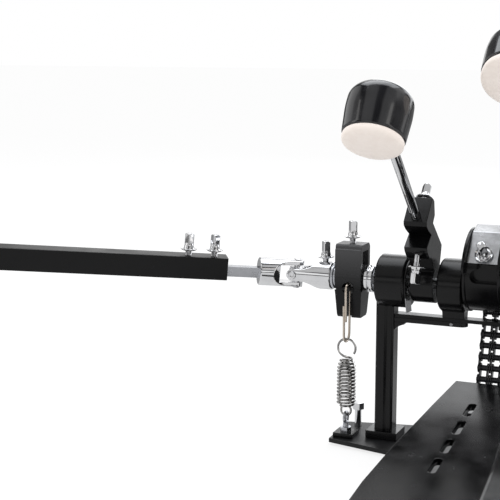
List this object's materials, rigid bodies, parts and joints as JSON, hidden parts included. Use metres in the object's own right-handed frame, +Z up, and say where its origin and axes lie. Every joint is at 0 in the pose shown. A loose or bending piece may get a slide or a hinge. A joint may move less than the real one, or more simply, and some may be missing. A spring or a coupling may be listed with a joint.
{
  "type": "bass drum pedal",
  "caption": "Chain-drive bass drum pedal with twin beaters, eccentric cam, hinged footboard, spring rockers, hoop clamp and a universal-jointed drive shaft.",
  "frame": {"origin": "on the floor directly under the middle of the cam, below the axle line", "axes": "+X to the drummer's right along the axles, +Y towards the drum, +Z up"},
  "size_m": [0.6851, 0.394, 0.3613],
  "materials": {
    "black_cast": "semi-gloss black powder coat on cast metal",
    "black_bar": "smooth satin black paint",
    "black_sheet": "textured black powder coat",
    "rubber": "matt black rubber",
    "chrome": "bright chrome plate",
    "bright_steel": "zinc-bright brushed steel",
    "black_chain": "oiled black roller chain",
    "gloss_head": "glossy black moulded plastic",
    "felt": "dense pressed wool felt, warm off-white",
    "nickel_wire": "warm nickel-plated wire",
    "spring_steel": "bright spring wire"
  },
  "bodies": {
    "frame": {"base_plate": "black_sheet", "grip_strips": "rubber", "left_post": "black_cast", "right_post": "black_cast", "crossbar": "black_bar", "centre_housing": "black_cast", "frame_screws": "chrome", "axle_bearings": "bright_steel", "bearing_caps": "black_cast", "hinge_pins": "chrome", "heel_plate": "black_cast", "spring_brackets": "black_cast", "spring_adjusters": "bright_steel", "clamp_bracket": "black_cast", "floor_spurs": "chrome"},
    "hoop_jaw": {"clamp_jaw": "black_cast", "jaw_pads": "rubber"},
    "clamp_screw": {"clamp_wing_screw": "chrome"},
    "left_drive": {"left_axle": "chrome", "axle_yoke": "chrome", "axle_washers": "bright_steel", "left_key_bolts": "chrome", "left_rocker": "black_cast", "left_rocker_pin": "black_cast", "left_collar": "chrome", "left_beater_hub": "black_cast", "left_beater_rod": "chrome", "left_beater_head": "gloss_head", "left_beater_felt": "felt"},
    "near_cross": {"ujoint_cross": "chrome"},
    "shaft_inner": {"shaft_yoke": "chrome", "shaft_bar": "bright_steel"},
    "shaft_outer": {"shaft_tube": "black_bar", "tube_key_bolts": "chrome", "tube_yoke": "chrome"},
    "far_cross": {"far_cross": "chrome"},
    "slave_end": {"slave_yoke": "chrome", "slave_key_bolt": "chrome"},
    "cam_drive": {"right_axle": "chrome", "cam_wheel": "black_cast", "cam_plate": "bright_steel", "cam_plate_screw": "chrome", "chain_wrap": "black_chain", "right_key_bolts": "chrome", "right_rocker": "black_cast", "right_rocker_pin": "black_cast", "right_collar": "chrome", "right_beater_hub": "black_cast", "right_beater_rod": "chrome", "right_beater_head": "gloss_head", "right_beater_felt": "felt"},
    "chain_upper": {"chain_link_upper": "black_chain"},
    "chain_lower": {"chain_link_lower": "black_chain"},
    "chain_drop": {"chain_run": "black_chain"},
    "pedal_board": {"footboard": "black_cast", "toe_clevis": "bright_steel"},
    "left_link": {"left_link_ring": "nickel_wire", "left_spring": "spring_steel"},
    "right_link": {"right_link_ring": "nickel_wire", "right_spring": "spring_steel"}
  },
  "joints": [
    {"name": "left_beater_swing", "type": "hinge", "parent": "frame", "child": "left_drive", "pos_m": [0, 0, 0.145], "axis": [-1, 0, 0], "range_deg": [0, 48], "stiffness_Nm_per_rad": 0.9, "springref_deg": -17.19},
    {"name": "right_beater_swing", "type": "hinge", "parent": "frame", "child": "cam_drive", "pos_m": [0, 0, 0.145], "axis": [-1, 0, 0], "range_deg": [0, 31.07], "stiffness_Nm_per_rad": 0.9, "springref_deg": -17.19},
    {"name": "footboard_press", "type": "hinge", "parent": "frame", "child": "pedal_board", "pos_m": [0, -0.245, 0.024], "axis": [-1, 0, 0], "range_deg": [0, 3.7]},
    {"name": "chain_upper_fold", "type": "hinge", "parent": "cam_drive", "child": "chain_upper", "pos_m": [0, 0.02507, 0.16715], "axis": [-1, 0, 0], "range_deg": [-7.7, 0]},
    {"name": "chain_lower_fold", "type": "hinge", "parent": "chain_upper", "child": "chain_lower", "pos_m": [0, 0.02598, 0.15767], "axis": [-1, 0, 0], "range_deg": [-15.4, 0]},
    {"name": "chain_drop_fold", "type": "hinge", "parent": "chain_lower", "child": "chain_drop", "pos_m": [0, 0.02437, 0.14828], "axis": [-1, 0, 0], "range_deg": [-7.7, 0]},
    {"name": "left_link_lift", "type": "slide", "parent": "frame", "child": "left_link", "axis": [0, 0, 1], "range_m": [0, 0.0092], "deforming": ["left_spring"]},
    {"name": "right_link_lift", "type": "slide", "parent": "frame", "child": "right_link", "axis": [0, 0, 1], "range_m": [0, 0.0054], "deforming": ["right_spring"]},
    {"name": "near_cross_tilt", "type": "hinge", "parent": "left_drive", "child": "near_cross", "pos_m": [-0.1746, 0, 0.145], "axis": [0, 1, 0], "range_deg": [-28.5, 0]},
    {"name": "shaft_spin", "type": "hinge", "parent": "frame", "child": "shaft_inner", "pos_m": [-0.1746, 0, 0.145], "axis": [-0.8448, -0.5299, 0.0739], "range_deg": [0, 55.5]},
    {"name": "shaft_length", "type": "slide", "parent": "shaft_inner", "child": "shaft_outer", "axis": [-0.8448, -0.5299, 0.0739], "range_m": [0, 0.08]},
    {"name": "far_cross_swing", "type": "hinge", "parent": "shaft_outer", "child": "far_cross", "pos_m": [-0.52377, -0.21902, 0.17555], "axis": [0.0872, 0, 0.9962], "range_deg": [0, 32]},
    {"name": "slave_yoke_swing", "type": "hinge", "parent": "far_cross", "child": "slave_end", "pos_m": [-0.52377, -0.21902, 0.17555], "axis": [0, 1, 0], "range_deg": [-18, 18]},
    {"name": "hoop_jaw_swing", "type": "hinge", "parent": "frame", "child": "hoop_jaw", "pos_m": [0, 0.018, 0.026], "axis": [1, 0, 0], "range_deg": [-4, 6]},
    {"name": "wing_screw_travel", "type": "slide", "parent": "hoop_jaw", "child": "clamp_screw", "axis": [0, 0, 1], "range_m": [-0.0035, 0.0035]}
  ],
  "couplings": [
    {"joint": "footboard_press", "follows": "right_beater_swing", "ratio": 0.11459},
    {"joint": "chain_upper_fold", "follows": "right_beater_swing", "ratio": -0.24469},
    {"joint": "chain_lower_fold", "follows": "right_beater_swing", "ratio": -0.48938},
    {"joint": "chain_drop_fold", "follows": "right_beater_swing", "ratio": -0.24469},
    {"joint": "left_link_lift", "follows": "left_beater_swing", "m_per_rad": 0.0106},
    {"joint": "right_link_lift", "follows": "right_beater_swing", "m_per_rad": 0.0092},
    {"joint": "near_cross_tilt", "follows": "left_beater_swing", "ratio": -0.584},
    {"joint": "shaft_spin", "follows": "left_beater_swing", "ratio": 1.144},
    {"joint": "wing_screw_travel", "follows": "hoop_jaw_swing", "m_per_rad": 0.028}
  ]
}
